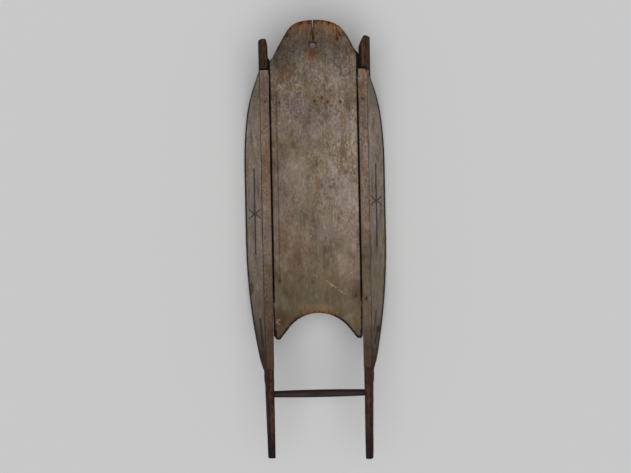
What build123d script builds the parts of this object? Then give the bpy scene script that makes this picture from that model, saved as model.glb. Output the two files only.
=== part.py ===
"""Coasting sled: a plank deck set between two outward-leaning plank runners shod with iron.

X runs across the sled, -Y is the way it travels and Z is up from the ground under the shoes.
The rider's left is +X. All sizes are in millimetres.
"""

import os
from collections import namedtuple
from math import acos, cos, degrees, radians, sin, tan

from build123d import *

# Lean of each runner from upright, foot outwards, in degrees
cant = 22.0

# Rails nailed along the tops of the runners
rail_length = 763.0
rail_thickness = 12.0
rail_overhang = 0.8
rail_edge_round = 1.6
rail_feather_length = 60.0  # front end planed down to the horn
rail_feather_thickness = 3.0
rail_proud = 3.0  # how far the rails stand above the deck
deck_gap = 4.2  # open joint between deck and rail

# Deck board
deck_width = 220.0
deck_thickness = 19.0
deck_edge_round = 2.5
tail_overhang = 127.0  # rounded rear end, past the rails
tail_peak = 6.0  # rearmost point of the tail, left of the middle
toe_setback = 75.5  # front ends of the rails back to the deck's toes
toe_inner_round = 6.0
toe_outer_round = 4.0
scoop_depth = 66.0  # hollow in the front end, back from the toes
scoop_half_angle = 52.0
rope_hole_diameter = 15.9
rope_hole_from_rear = 65.0
ear_gap = 0.4  # ears behind the toes, where the deck's sides swell to meet the rails
ear_setback = 92.0  # toes back to the rear ends of the ears
ear_ramp = 5.0  # run of the step out to an ear
ear_round = 3.5
split_mouth = 3.0  # old split running from the rope hole out to the rear end
split_root = 0.9

# Plank runners, drawn in the plane of the plank: depth is measured down its slope
plank_thickness = 20.0
plank_edge_round = 1.6
belly_depth = 136.0
belly_rear_setback = 242.0  # rear ends of the rails forward to the straight belly
belly_front_setback = 338.0  # front ends of the rails back to the straight belly
rear_sweep_radius = 366.0
rear_sweep_turn = 18.0
heel_radius = 192.0
heel_turn = 30.0
front_sweep_radius = 586.0
tip_bevel_angle = 35.0
horn_length = 235.0  # past the front ends of the rails
horn_root_depth = 19.0
horn_end_depth = 14.0
horn_planing_run = 160.0  # where the planing of the horns dies out, back from the rails' front ends

# Iron shoes under the runners
shoe_width = 18.0
shoe_thickness = 5.0
shoe_round = 4.0
shoe_seat_gap = 0.15
shoe_end_margin = 9.0  # how far the shoe stops short of horn and tip

# Crossbars under the deck, tenoned blind into the runners
crossbar_width = 46.0
crossbar_height = 25.0
crossbar_edge_round = 2.0
crossbar_from_rear = 211.0
crossbar_from_toes = 126.0
tenon_length = 11.0
tenon_width = 32.0
tenon_height = 12.0
tenon_clearance = 0.15

# Rung between the horns
rung_reach = 65.0  # front ends of the rails forward to the rung
rung_middle_diameter = 19.9
rung_end_diameter = 16.0
rung_tenon_diameter = 10.0
rung_clearance = 0.15

# The two runners are hand sawn and whittled, and differ a little:
# side of X, tip past the rail, its depth, whittling of its inner side across, along and bevelled,
# rounding of its outer side and of the rail's rear corner, shortfall of the horn and its planing
Side = namedtuple(
    "Side",
    "sign tip_reach tip_depth tip_nip tip_nip_length tip_bevel tip_round rail_round horn_short horn_planed",
)
SIDES = {
    "left": Side(1, 87.0, 34.0, 17.0, 54.0, 10.5, 1.5, 12.0, 0.0, 5.0),
    "right": Side(-1, 82.0, 12.0, 6.0, 34.0, 4.0, 7.0, 3.0, 6.7, 6.0),
}

# So do the two sides of the deck:
# side of X, ends of the tail's crown and shoulder in from the side and down from the rear end,
# length of the tail, width of the toe, its gap to the rail, and the ear's end behind the toe
DeckSide = namedtuple(
    "DeckSide",
    "sign crown_inset crown_drop shoulder_inset shoulder_drop tail_length toe_width toe_gap ear_end",
)
DECK_SIDES = (
    DeckSide(1, 66.0, 5.0, 29.0, 31.0, 88.0, 11.2, 3.0, 31.0),
    DeckSide(-1, 80.0, 3.6, 44.0, 28.5, 108.0, 11.1, 5.8, 44.0),
)

# Places along the sled
overall_length = tail_overhang + rail_length + horn_length
rear = overall_length / 2
front = -overall_length / 2
rail_rear = rear - tail_overhang
rail_front = front + horn_length
toe_y = rail_front + toe_setback
scoop_y = toe_y + scoop_depth
ear_y = toe_y + ear_setback
belly_rear = rail_rear - belly_rear_setback
belly_front = rail_front + belly_front_setback
rung_y = rail_front - rung_reach
planing_y = rail_front + horn_planing_run
CROSSBARS = {"rear": rear - crossbar_from_rear, "front": toe_y + crossbar_from_toes}

# Places across the sled
lean = radians(cant)
seat_width = plank_thickness / cos(lean)  # level top of a leaning plank
rail_inner_x = deck_width / 2 + deck_gap
plank_outer_x = rail_inner_x + seat_width

# Heights, from the shoe's rounded inner corner that stands on the ground
shoe_corner_across = (plank_thickness + shoe_width) / 2 - shoe_round
shoe_corner_depth = belly_depth + shoe_seat_gap + shoe_thickness - shoe_round
seat_z = shoe_corner_across * sin(lean) + shoe_corner_depth * cos(lean) + shoe_round
deck_top_z = seat_z + rail_thickness - rail_proud
deck_under_z = deck_top_z - deck_thickness
tenon_z = deck_under_z - crossbar_height / 2

# Foot of a runner: the front sweep rises to the horn, the heel rises to the tip
front_turn = acos(1 - (belly_depth - horn_root_depth) / front_sweep_radius)
horn_root_y = belly_front - front_sweep_radius * sin(front_turn)
heel_slope = radians(rear_sweep_turn + heel_turn)
heel_depth = (
    belly_depth
    - rear_sweep_radius * (1 - cos(radians(rear_sweep_turn)))
    - heel_radius * (cos(radians(rear_sweep_turn)) - cos(heel_slope))
)

# The rung's axis runs midway down the horns
rung_share = (horn_root_y - rung_y) / (horn_root_y - front)
rung_horn_depth = horn_root_depth + (horn_end_depth - horn_root_depth) * rung_share
rung_z = seat_z - (rung_horn_depth * cos(lean) + plank_thickness / 2 * sin(lean)) / 2


def plank_face(sign, depth_in):
    """Plane of a runner's face, depth_in behind its outer face and looking outwards."""
    face = Plane(
        origin=(sign * plank_outer_x, 0, seat_z),
        x_dir=(0, sign, 0),
        z_dir=(sign * cos(lean), 0, sin(lean)),
    )
    return face.offset(-depth_in)


def planed(side, y):
    """What is planed off the outer side of a runner at y, on the way to the end of its horn."""
    return side.horn_planed * (planing_y - y) / (planing_y - front)


def inner_x(z):
    """How far from the middle a runner's inner face stands at height z."""
    return rail_inner_x + (seat_z - z) * tan(lean)


def foot_run(side, offset, margin):
    """Draw a runner's foot as on the left, held off by offset and margin short of horn and tip."""
    foot = -(belly_depth + offset)
    turn = acos(1 - (belly_depth - horn_root_depth - margin) / front_sweep_radius)
    sweep = JernArc((belly_front, foot), (-1, 0), front_sweep_radius + offset, -degrees(turn))
    Line((belly_front, foot), (belly_rear, foot))
    rise = JernArc((belly_rear, foot), (1, 0), rear_sweep_radius + offset, rear_sweep_turn)
    heel = JernArc(rise @ 1, rise % 1, heel_radius + offset, heel_turn)
    stem_length = (heel_depth - side.tip_depth - margin) / sin(heel_slope)
    stem = PolarLine(heel @ 1, stem_length, direction=heel % 1)
    return sweep @ 1, stem @ 1


def facing(part, sign):
    """The part as built for the left, or its mirror image for the right."""
    if sign > 0:
        return part
    with BuildPart() as reflected:
        mirror(part, about=Plane.YZ)
    return reflected.part


def build_runner(side):
    """One plank runner with its whittled tip, planed horn, mortises and rung hole."""
    tip_end = rail_rear + side.tip_reach
    horn_end = front + side.horn_short
    spare = plank_thickness * tan(lean)  # stock above the outer edge, planed off level
    up_slope = Plane(
        origin=(plank_outer_x, 0, seat_z), x_dir=(0, 1, 0), z_dir=(-sin(lean), 0, cos(lean))
    )
    with BuildPart() as plank:
        with BuildSketch(plank_face(1, 0)):
            with BuildLine():
                horn_root, heel_root = foot_run(side, 0, 0)
                Polyline(
                    heel_root,
                    (tip_end, -side.tip_depth),
                    (tip_end, spare),
                    (horn_end, spare),
                    (horn_end, -horn_end_depth),
                    horn_root,
                )
            make_face()
        extrude(amount=-plank_thickness)
        split(bisect_by=Plane.XY.offset(seat_z), keep=Keep.BOTTOM)
        # Outer side of the horn planed thinner towards its end
        with BuildSketch(up_slope):
            with BuildLine():
                Polyline(
                    (planing_y, 0),
                    (front, planed(side, front)),
                    (front, -plank_thickness),
                    (planing_y, -plank_thickness),
                    close=True,
                )
            make_face()
        extrude(amount=belly_depth, both=True, mode=Mode.SUBTRACT)
        # Edges eased all round
        fillet(plank.faces().sort_by(Axis.Y)[-1].edges().sort_by(Axis.X)[-1], side.tip_round)
        outward = plank_face(1, 0).z_dir
        cheeks = plank.faces().filter_by(lambda f: abs(f.normal_at().dot(outward)) > 0.95)
        fillet(cheeks.edges().filter_by(lambda e: abs((e % 0.5).Y) > 0.1), plank_edge_round)
        # Inner side of the tip whittled to a bevel and a rounded end
        bevel_x = rail_inner_x + side.tip_bevel
        with BuildSketch(Plane.XZ.offset(-rail_rear)):
            with BuildLine():
                Polyline(
                    (bevel_x, seat_z),
                    (bevel_x - plank_thickness, seat_z - plank_thickness * tan(radians(tip_bevel_angle))),
                    (bevel_x - plank_thickness, seat_z + plank_thickness),
                    (bevel_x, seat_z + plank_thickness),
                    close=True,
                )
            make_face()
        extrude(amount=-2 * side.tip_reach, mode=Mode.SUBTRACT)
        with BuildSketch(Plane.XY.offset(seat_z)):
            with BuildLine():
                nip = TangentArc(
                    (rail_inner_x, tip_end - side.tip_nip_length),
                    (rail_inner_x + side.tip_nip, tip_end),
                    tangent=(0, 1),
                )
                Polyline(nip @ 1, (rail_inner_x - plank_thickness, tip_end), nip @ 0)
            make_face()
        extrude(amount=belly_depth, both=True, mode=Mode.SUBTRACT)
        # Mortises for the crossbars and the rung's hole
        for y in CROSSBARS.values():
            with Locations((inner_x(tenon_z), y, tenon_z)):
                Box(
                    2 * (tenon_length + tenon_clearance),
                    tenon_width + 2 * tenon_clearance,
                    tenon_height + 2 * tenon_clearance,
                    mode=Mode.SUBTRACT,
                )
        with Locations((plank_outer_x, rung_y, rung_z)):
            Cylinder(
                rung_tenon_diameter / 2 + rung_clearance,
                4 * seat_width,
                rotation=(0, 90, 0),
                mode=Mode.SUBTRACT,
            )
    return facing(plank.part, side.sign)


def build_shoe(side):
    """One iron shoe bent round the foot of a runner."""
    with BuildPart() as shoe:
        with BuildLine(plank_face(1, plank_thickness / 2)) as path:
            foot_run(side, shoe_seat_gap, shoe_end_margin)
        run = path.wires()[0]
        away = 1 if (run % 0).Y > 0 else -1
        end = Plane(origin=run @ 0, x_dir=(cos(lean), 0, sin(lean)), z_dir=run % 0)
        with BuildSketch(end) as section:
            with Locations((0, away * shoe_thickness / 2)):
                Rectangle(shoe_width, shoe_thickness)
            ground_side = section.vertices().sort_by(Axis.Y, reverse=away > 0)[:2]
            fillet(ground_side, shoe_round)
        sweep(path=run)
    return facing(shoe.part, side.sign)


def build_rail(side):
    """One rail, rounded at its rear corner, narrowed and planed down to the horn at the front."""
    outer_x = plank_outer_x + rail_overhang
    with BuildPart() as rail:
        with BuildSketch(Plane.XY.offset(seat_z)) as strip:
            with BuildLine():
                Polyline(
                    (rail_inner_x, rail_front),
                    (rail_inner_x, rail_rear),
                    (outer_x, rail_rear),
                    (outer_x, planing_y),
                    (outer_x - planed(side, rail_front) / cos(lean), rail_front),
                    close=True,
                )
            make_face()
            fillet(strip.vertices().group_by(Axis.Y)[-1].sort_by(Axis.X)[-1], side.rail_round)
        extrude(amount=rail_thickness)
        feather = Plane(
            origin=(0, rail_front, seat_z + rail_feather_thickness),
            x_dir=(1, 0, 0),
            z_dir=(0, rail_feather_thickness - rail_thickness, rail_feather_length),
        )
        split(bisect_by=feather, keep=Keep.BOTTOM)
        upper = rail.faces().filter_by(lambda f: f.normal_at().Z > 0.5)
        ridges = upper.edges().filter_by(lambda e: abs((e % 0.5).X) < 0.5)
        fillet(ridges, rail_edge_round)
    return facing(rail.part, side.sign)


def build_crossbar(y):
    """One crossbar, bevelled to the runners' lean, with a blind tenon at each end."""
    low_z = deck_under_z - crossbar_height
    with BuildPart() as bar:
        with BuildSketch(Plane.XZ.offset(-y)):
            with BuildLine():
                Polyline(
                    (-inner_x(deck_under_z), deck_under_z),
                    (inner_x(deck_under_z), deck_under_z),
                    (inner_x(low_z), low_z),
                    (-inner_x(low_z), low_z),
                    close=True,
                )
            make_face()
        extrude(amount=crossbar_width / 2, both=True)
        fillet(bar.edges().filter_by(Axis.X).group_by(Axis.Z)[0], crossbar_edge_round)
        with Locations((0, y, tenon_z)):
            Box(2 * (inner_x(tenon_z) + tenon_length), tenon_width, tenon_height)
    return bar.part


def deck_side(side):
    """Draw one side of the deck, from the peak of the tail to the middle of the scoop."""
    half = deck_width / 2
    crown_end = (side.sign * (half - side.crown_inset), rear - side.crown_drop)
    shoulder_end = (side.sign * (half - side.shoulder_inset), rear - side.shoulder_drop)
    corner = (side.sign * half, rear - side.tail_length)
    crown = TangentArc((tail_peak, rear), crown_end, tangent=(side.sign, 0))
    shoulder = TangentArc(crown_end, shoulder_end, tangent=crown % 1)
    TangentArc(shoulder_end, corner, tangent=shoulder % 1)
    ear_x = side.sign * (rail_inner_x - ear_gap)
    toe_reach = rail_inner_x - side.toe_gap
    toe_inner = toe_reach - side.toe_width
    bend = radians(scoop_half_angle)
    scoop_radius = (toe_inner - scoop_depth / tan(bend)) / (sin(bend) - (1 - cos(bend)) / tan(bend))
    scoop_end = (side.sign * scoop_radius * sin(bend), scoop_y - scoop_radius * (1 - cos(bend)))
    Polyline(
        corner,
        (side.sign * half, ear_y + ear_ramp),
        (ear_x, ear_y),
        (ear_x, toe_y + side.ear_end),
        (side.sign * toe_reach, toe_y),
        (side.sign * toe_inner, toe_y),
        scoop_end,
    )
    TangentArc((0, scoop_y), scoop_end, tangent=(side.sign, 0))


# Deck: rounded tail, straight sides, ears, and a scooped front end between two toes
with BuildPart() as deck:
    with BuildSketch(Plane.XY.offset(deck_under_z)) as outline:
        with BuildLine():
            for side in DECK_SIDES:
                deck_side(side)
        make_face()
        for sign in (1, -1):
            flank = outline.vertices().filter_by(lambda v: sign * v.X > deck_width / 2 - ear_gap)
            fillet(flank.sort_by(Axis.Y)[1:-1], ear_round)
        toes = outline.vertices().group_by(Axis.Y)[0].sort_by(Axis.X)
        fillet(toes[1:3], toe_inner_round)
        sides = outline.vertices().group_by(Axis.Y)[0].sort_by(Axis.X)
        fillet([sides[0], sides[-1]], toe_outer_round)
    extrude(amount=deck_thickness)
    fillet(deck.faces().filter_by(Axis.Z).edges(), deck_edge_round)
    hole_y = rear - rope_hole_from_rear
    with Locations((0, hole_y, deck_top_z)):
        Hole(rope_hole_diameter / 2, deck_thickness)
    with BuildSketch(Plane.XY.offset(deck_under_z)):
        with BuildLine():
            Polyline(
                (-split_root / 2, hole_y),
                (split_root / 2, hole_y),
                (split_mouth / 2, rear),
                (-split_mouth / 2, rear),
                close=True,
            )
        make_face()
    extrude(amount=deck_thickness, mode=Mode.SUBTRACT)

# Rung, turned fullest at the middle, coped to the horns and tenoned through them
with BuildPart() as rung:
    reach = inner_x(rung_z) + rung_end_diameter / 2
    with BuildSketch(Plane.XY.offset(rung_z)):
        with BuildLine():
            ThreePointArc(
                (-reach, rung_y + rung_end_diameter / 2),
                (0, rung_y + rung_middle_diameter / 2),
                (reach, rung_y + rung_end_diameter / 2),
            )
            Polyline(
                (reach, rung_y + rung_end_diameter / 2),
                (reach, rung_y),
                (-reach, rung_y),
                (-reach, rung_y + rung_end_diameter / 2),
            )
        make_face()
    revolve(axis=Axis((0, rung_y, rung_z), (1, 0, 0)))
    for side in SIDES.values():
        split(bisect_by=plank_face(side.sign, plank_thickness), keep=Keep.BOTTOM)
    with Locations((0, rung_y, rung_z)):
        Cylinder(rung_tenon_diameter / 2, 4 * reach, rotation=(0, 90, 0))
    for side in SIDES.values():
        split(bisect_by=plank_face(side.sign, planed(side, rung_y)), keep=Keep.BOTTOM)

# Pieces by name
pieces = {"deck": deck.part, "rung": rung.part}
for name, side in SIDES.items():
    pieces["runner_" + name] = build_runner(side)
    pieces["rail_" + name] = build_rail(side)
    pieces["shoe_" + name] = build_shoe(side)
for name, y in CROSSBARS.items():
    pieces["crossbar_" + name] = build_crossbar(y)

os.makedirs("parts", exist_ok=True)
for name, piece in pieces.items():
    piece.label = name
    export_step(piece, "parts/" + name + ".step")
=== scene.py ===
"""Coasting sled: worn paint, hand-darkened wood and rusted iron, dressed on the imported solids.

Each solid of the frame is copied as an even mesh, worn, dented and cracked, and the copy replaces it.
Lengths are in metres in the part's own frame: X across, -Y the way the sled travels, Z up from the ground.
"""

import math
from collections import namedtuple
from functools import partial

import bmesh
import bpy
import numpy as np
from mathutils import Matrix, Vector, noise
from mathutils.bvhtree import BVHTree
from mathutils.kdtree import KDTree


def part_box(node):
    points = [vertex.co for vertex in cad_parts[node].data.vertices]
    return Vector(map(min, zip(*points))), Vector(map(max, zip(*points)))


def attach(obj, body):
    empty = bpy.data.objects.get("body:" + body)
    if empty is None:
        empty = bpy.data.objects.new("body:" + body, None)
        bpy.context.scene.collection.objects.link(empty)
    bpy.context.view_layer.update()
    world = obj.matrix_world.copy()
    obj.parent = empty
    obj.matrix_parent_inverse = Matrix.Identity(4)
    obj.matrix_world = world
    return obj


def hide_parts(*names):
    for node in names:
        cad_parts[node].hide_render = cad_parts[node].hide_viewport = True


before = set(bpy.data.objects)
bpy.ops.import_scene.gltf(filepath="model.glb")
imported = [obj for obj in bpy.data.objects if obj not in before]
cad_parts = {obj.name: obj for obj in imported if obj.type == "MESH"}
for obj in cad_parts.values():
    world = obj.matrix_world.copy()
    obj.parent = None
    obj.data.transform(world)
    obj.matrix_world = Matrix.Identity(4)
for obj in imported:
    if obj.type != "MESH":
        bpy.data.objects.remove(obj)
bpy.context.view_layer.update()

bl_info = {
    "name": "Coasting sled",
    "version": (1, 0, 0),
    "blender": (4, 5, 0),
    "location": "View3D > Sidebar > Sled",
    "description": "Dresses the packed coasting sled with worn wood, old paint and rusted iron",
    "category": "Object",
}

MM = 0.001
BODY = "root"
DECK_LOW, DECK_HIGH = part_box("deck")
RAIL_LOW, RAIL_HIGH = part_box("rail_left")

# Places along the sled are given in millimetres behind this line, which crosses the deck near its middle
MARK_Y = DECK_HIGH.y - 557.5 * MM

# A runner leans out from its level top, and its outer face starts just inside the rail's edge
CANT = math.radians(22.0)
RAIL_OVERHANG = 0.8 * MM
SEAT_Z = RAIL_LOW.z
FACE_X = RAIL_HIGH.x - RAIL_OVERHANG
PLANK_THICKNESS = 20.0 * MM

# The rope hole in the tail of the deck
HOLE = Vector((0.0, DECK_HIGH.y - 65.0 * MM, DECK_HIGH.z))
HOLE_RADIUS = 7.95 * MM

# The open joint between the deck and a rail. The deck's walls beyond this X face it.
JOINT_WIDTH = 4.2 * MM
JOINT_X = 104.0 * MM


def colour(code):
    """An sRGB hex colour as the linear red, green and blue that Blender works in."""
    shares = [int(code[place : place + 2], 16) / 255 for place in (1, 3, 5)]
    return tuple(s / 12.92 if s <= 0.04045 else ((s + 0.055) / 1.055) ** 2.4 for s in shares)


def length(name, description, size):
    """A length that a user can change, given here in millimetres."""
    return bpy.props.FloatProperty(name=name, description=description, default=size * MM, unit="LENGTH")


def tint(name, description, code):
    """A colour that a user can change, given here as sRGB hex."""
    shown = colour(code)
    return bpy.props.FloatVectorProperty(name=name, description=description, default=shown, subtype="COLOR")


class SledSizes(bpy.types.PropertyGroup):
    """Sizes of the worn surfaces, painted lines and fastenings."""

    board_mesh: length("Board mesh", "Mesh size on the deck and planks", 2.1)
    strip_mesh: length("Strip mesh", "Mesh size on rails, bars and shoes", 1.4)
    rung_mesh: length("Rung mesh", "Mesh size on the rung", 1.0)
    hollowing: length("Hollowing", "How deep old planing and use hollow a face", 0.5)
    stripe_width: length("Stripe width", "Painted line on the runners", 12.0)
    stripe_depth: length("Stripe depth", "Top of a runner down to its line", 60.0)
    cross_height: length("Cross height", "Painted cross, measured down a runner", 88.0)
    cross_length: length("Cross length", "Painted cross, measured along a runner", 25.0)
    brush_width: length("Brush width", "Strokes of the painted cross", 4.2)
    nail_head: length("Nail head", "Longer side of a cut nail's head", 5.2)
    screw_head: length("Screw head", "Diameter of a shoe screw's head", 8.4)


class SledColours(bpy.types.PropertyGroup):
    """Colours of the paint, wood, iron and floor."""

    paint: tint("Paint", "Old taupe paint", "#77675a")
    paint_planks: tint("Plank paint", "Greener paint on the runners", "#736b60")
    paint_faded: tint("Faded paint", "Paint chalked by weather", "#958b7f")
    paint_olive: tint("Olive paint", "Paint yellowed by oil and smoke", "#70644a")
    paint_violet: tint("Violet-grey paint", "Paint greyed by damp", "#766866")
    paint_soiled: tint("Soiled paint", "Paint under old dirt", "#524335")
    wood: tint("Worn wood", "Wood where the paint is gone", "#744a28")
    wood_dark: tint("Dark grain", "Late wood of the worn places", "#3a2113")
    handled: tint("Handled wood", "Horns, darkened by hands", "#6e4a3b")
    handled_dark: tint("Handled grain", "Dark grain of the horns", "#38231c")
    rung: tint("Rung", "Rung, blackened by hands", "#30201c")
    rung_dark: tint("Rung grain", "Dark grain of the rung", "#110b0a")
    stain: tint("Stains", "Brown spots in the paint", "#5c3a22")
    # The grime colour also paints shade: in the open joints, on inner walls, at the scoop's rim and beside
    # the rear tips
    grime: tint("Grime", "Dirt in joints and along the feet", "#120c0a")
    scratch: tint("Scratches", "Fresh scratches in the paint", "#c0a682")
    stripe: tint("Stripe", "Blue-black line and cross", "#282b30")
    floor: tint("Floor", "Pale floor and backdrop", "#c8c8c8")


# Reading and wearing meshes

# Vertices of a CAD mesh closer than this are one, and faces that meet more sharply than this show an edge
MERGED = 0.001 * MM
CREASE = math.radians(55)
# A vertex that stands out this far from its neighbours is sharp, and goes out this far to the solid at most
SHARP = 0.8 * MM
PULL = 1.6 * MM
# It goes out only where the solid's surface lies this squarely ahead of it
AHEAD = 0.35
# Where a worn mesh stands out this far it is an edge, and where it has this share of that it is a rim
EDGE = 0.7 * MM
RIM_SHARE = 0.45


def points_of(mesh):
    """The vertices as rows of x, y, z."""
    flat = np.empty(len(mesh.vertices) * 3)
    mesh.vertices.foreach_get("co", flat)
    return flat.reshape(-1, 3)


def normals_of(mesh):
    """The vertex normals as rows of x, y, z."""
    flat = np.empty(len(mesh.vertices) * 3)
    mesh.vertex_normals.foreach_get("vector", flat)
    return flat.reshape(-1, 3)


def set_points(mesh, points, solid=None):
    """Move the vertices to the points, held inside the box of a CAD solid where one is named."""
    if solid:
        points = np.clip(points, *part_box(solid))
    mesh.vertices.foreach_set("co", points.ravel())
    mesh.update()


def relaxed(mesh, points, rounds):
    """The points drawn towards their neighbours, which rounds edges and fills hollows."""
    ends = np.empty(len(mesh.edges) * 2, dtype=np.int32)
    mesh.edges.foreach_get("vertices", ends)
    here = np.concatenate((ends[0::2], ends[1::2]))
    there = np.concatenate((ends[1::2], ends[0::2]))
    count = np.bincount(here, minlength=len(points))
    for _ in range(rounds):
        middle = [np.bincount(here, points[there, axis], len(points)) / count for axis in range(3)]
        points = 0.5 * points + 0.5 * np.stack(middle, axis=1)
    return points


def wander(points, size, shift):
    """Smooth random values, about -1 to 1, that change over the given millimetres along X, Y and Z."""
    cells = points / (np.array(size) * MM) + shift
    return np.array([noise.noise(cell) for cell in cells.tolist()])


def ramp(values, start, end):
    """0 at the start, 1 at the end and even between them. The end may be the lower one."""
    return np.clip((values - start) / (end - start), 0, 1)


def places(points):
    """How far behind the mark each point lies, in millimetres."""
    return (points[:, 1] - MARK_Y) / MM


def along_sled(points, stations, values):
    """A value that changes along the sled between stations given as places."""
    return np.interp(places(points), stations, values)


def patched(points, patches):
    """Soft-edged patches seen from above, in millimetres, where the strongest one counts.

    Each has its middle across and along the sled, half its width, half its length and its strength.
    """
    total = np.zeros(len(points))
    for x, y, half_x, half_y, strength in patches:
        across = (points[:, 0] / MM - x) / half_x
        along = (places(points) - y) / half_y
        total = np.maximum(total, strength * np.clip(1.6 - 1.2 * np.hypot(across, along), 0, 1))
    return total


def streaked(points, streaks):
    """Thin soft lines seen from above: both ends in millimetres, half the width and the strength."""
    total = np.zeros(len(points))
    seen = np.stack((points[:, 0] / MM, places(points)), axis=1)
    for x0, y0, x1, y1, half_width, strength in streaks:
        start = np.array((x0, y0))
        run = np.array((x1, y1)) - start
        share = np.clip(((seen - start) @ run) / (run @ run), 0, 1)
        away = np.linalg.norm(seen - start - share[:, None] * run, axis=1)
        total = np.maximum(total, strength * np.clip(1.6 - away / half_width, 0, 1))
    return total


def mark(mesh, **marks):
    """Keep one number for each vertex under each name, for the materials to read."""
    for name, values in marks.items():
        layer = mesh.attributes.new(name, "FLOAT", "POINT")
        layer.data.foreach_set("value", np.asarray(values, dtype=np.float32))


def baked(helper, name):
    """The helper's finished shape as a plain mesh. The helper is removed."""
    graph = bpy.context.evaluated_depsgraph_get()
    mesh = bpy.data.meshes.new_from_object(helper.evaluated_get(graph))
    mesh.name = name
    bpy.data.objects.remove(helper)
    return mesh


def placed(mesh, name):
    """An object for the mesh, in the scene."""
    piece = bpy.data.objects.new(name, mesh)
    bpy.context.scene.collection.objects.link(piece)
    return piece


def drawn(shape, name):
    """The shape as a mesh of that name."""
    mesh = bpy.data.meshes.new(name)
    shape.to_mesh(mesh)
    shape.free()
    return mesh


def even_copy(solid, mesh_size, filler=None):
    """An even, closed mesh of a CAD solid. A filler, given by two corners, is melted into it."""
    shape = bmesh.new()
    shape.from_mesh(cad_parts[solid].data)
    bmesh.ops.remove_doubles(shape, verts=shape.verts, dist=MERGED)
    if filler:
        low, high = filler
        block = bmesh.ops.create_cube(shape, size=1.0)["verts"]
        bmesh.ops.scale(shape, vec=high - low, verts=block)
        bmesh.ops.translate(shape, vec=(low + high) / 2, verts=block)
    stock = placed(drawn(shape, solid + "_stock"), solid + "_stock")
    remesh = stock.modifiers.new("Even mesh", "REMESH")
    remesh.mode = "VOXEL"
    remesh.voxel_size = mesh_size
    return baked(stock, solid + "_worn")


def solid_surface(solid):
    """The surface of a CAD solid, to look up its nearest points."""
    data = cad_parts[solid].data
    return BVHTree.FromPolygons([v.co for v in data.vertices], [tuple(p.vertices) for p in data.polygons])


def wear(mesh, solid, rounds, hollowing, shift):
    """Chew the edges, hollow the faces a little, and stay inside the CAD solid's box."""
    points = points_of(mesh)
    normals = normals_of(mesh)
    soft = relaxed(mesh, points, rounds)
    sharpness = np.clip(((points - soft) * normals).sum(axis=1) / SHARP, 0, 1)
    # The even mesh rounds off the edges, so they go back out to the solid before they are chewed
    surface = solid_surface(solid)
    rounded = np.flatnonzero(sharpness > 0.1)
    gap = np.array([surface.find_nearest(point)[0] for point in points[rounded].tolist()]) - points[rounded]
    width = np.maximum(np.linalg.norm(gap, axis=1), 1e-7)
    facing = (gap * normals[rounded]).sum(axis=1) / width
    step = np.where(facing > AHEAD, np.minimum(width / np.maximum(facing, AHEAD), PULL), 0)
    points[rounded] += normals[rounded] * step[:, None]
    chewing = np.clip(0.15 + 0.9 * wander(points, (14, 30, 14), shift), 0.05, 0.85)
    points += (soft - points) * (chewing * sharpness)[:, None]
    # Walls along joints are hollowed less than the open faces
    open_face = 0.3 + 0.7 * np.abs(normals[:, 2])
    dips = 0.5 + 0.5 * wander(points, (45, 120, 45), shift + 7)
    dents = np.clip(wander(points, (11, 16, 11), shift + 3) - 0.35, 0, 1)
    points -= normals * (hollowing * open_face * (dips + 1.2 * dents))[:, None]
    set_points(mesh, points, solid)


def keep_edges(mesh, rounds, cracks=()):
    """Mark the edges, but not those of cracks. Gives each vertex's way to the nearest rim."""
    points = points_of(mesh)
    soft = relaxed(mesh, points, rounds)
    stand = ((points - soft) * normals_of(mesh)).sum(axis=1) / EDGE
    stand *= 1 - streaked(points, cracks)
    mark(mesh, edge=np.clip(stand, 0, 1))
    rim = np.flatnonzero(stand > RIM_SHARE)
    tree = KDTree(len(rim))
    for place in rim.tolist():
        tree.insert(points[place], place)
    tree.balance()
    return np.array([tree.find(point)[2] for point in points.tolist()])


def finished(mesh, name, solid, material):
    """The piece for a worn mesh, standing for its CAD solid."""
    mesh.materials.append(material)
    mesh.shade_smooth()
    mesh.set_sharp_from_angle(angle=CREASE)
    piece = placed(mesh, name)
    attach(piece, BODY)
    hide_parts(solid)


# Materials

ATTRIBUTE = "ShaderNodeAttribute"
BUMP = "ShaderNodeBump"
COORDINATES = "ShaderNodeTexCoord"
DIRECTION = "ShaderNodeVectorMath"
MAPPING = "ShaderNodeMapping"
MATH = "ShaderNodeMath"
MIX = "ShaderNodeMix"
NOISE = "ShaderNodeTexNoise"
OUTPUT = "ShaderNodeOutputMaterial"
PRINCIPLED = "ShaderNodeBsdfPrincipled"
RANGE = "ShaderNodeMapRange"
# The socket that a mix of colours comes out of
MIXED = 2


def node(tree, kind, inputs=(), out=0, **settings):
    """Add a node and give one of its outputs. An input given a socket is linked, any other value is set."""
    made = tree.nodes.new(kind)
    for name, value in settings.items():
        setattr(made, name, value)
    given = inputs.items() if isinstance(inputs, dict) else enumerate(inputs)
    for name, value in given:
        if isinstance(value, bpy.types.NodeSocket):
            tree.links.new(value, made.inputs[name])
        else:
            made.inputs[name].default_value = value
    return made.outputs[out] if made.outputs else None


def sized(x, y, z):
    """The mapping scale that makes a pattern's features this many millimetres across."""
    return (1 / (x * MM), 1 / (y * MM), 1 / (z * MM))


def blank_material(name):
    """A material with an empty node tree, and the call that adds a node to it."""
    material = bpy.data.materials.new(name)
    material.use_nodes = True
    material.node_tree.nodes.clear()
    return material, partial(node, material.node_tree)


def opaque(shade):
    """A colour with full alpha, as node sockets take it."""
    return (*shade, 1.0)


Grain = namedtuple("Grain", "streak fine chips mottle speck blotch rings")

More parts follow.
